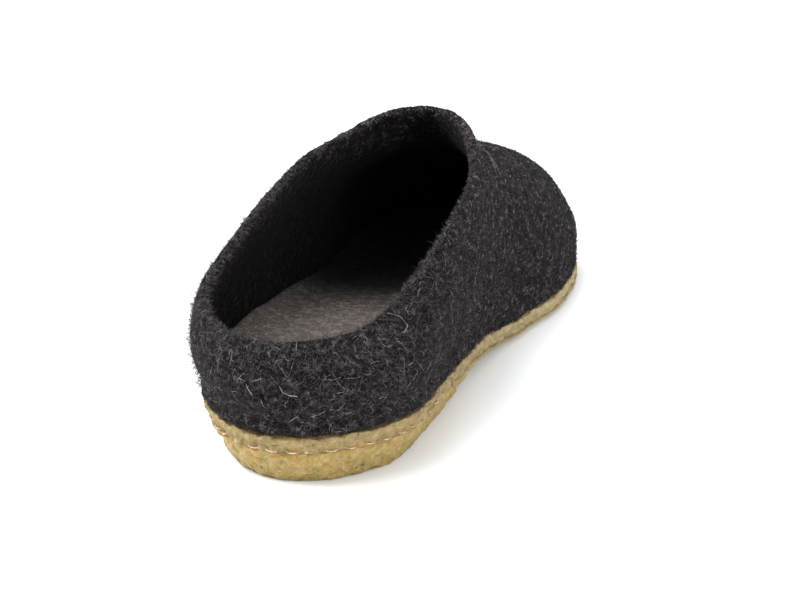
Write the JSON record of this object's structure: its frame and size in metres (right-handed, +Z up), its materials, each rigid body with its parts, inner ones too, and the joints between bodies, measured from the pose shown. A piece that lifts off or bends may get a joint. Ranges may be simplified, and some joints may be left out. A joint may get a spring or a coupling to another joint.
{
  "type": "felt slipper",
  "caption": "Left felt slipper with a low heel collar, a raised front lip and a two-layer crepe rubber sole.",
  "frame": {"origin": "on the floor under the middle of the slipper's box", "axes": "+Y from heel to toe, +X towards the inner side of the foot, +Z up from the floor"},
  "size_m": [0.1038, 0.279, 0.0971],
  "materials": {
    "felt": "matte",
    "insole_felt": "matte",
    "crepe_band": "matte",
    "crepe_sole": "matte"
  },
  "bodies": {
    "root": {"upper": "felt", "insole": "insole_felt", "midsole": "crepe_band", "outsole": "crepe_sole"}
  },
  "joints": []
}
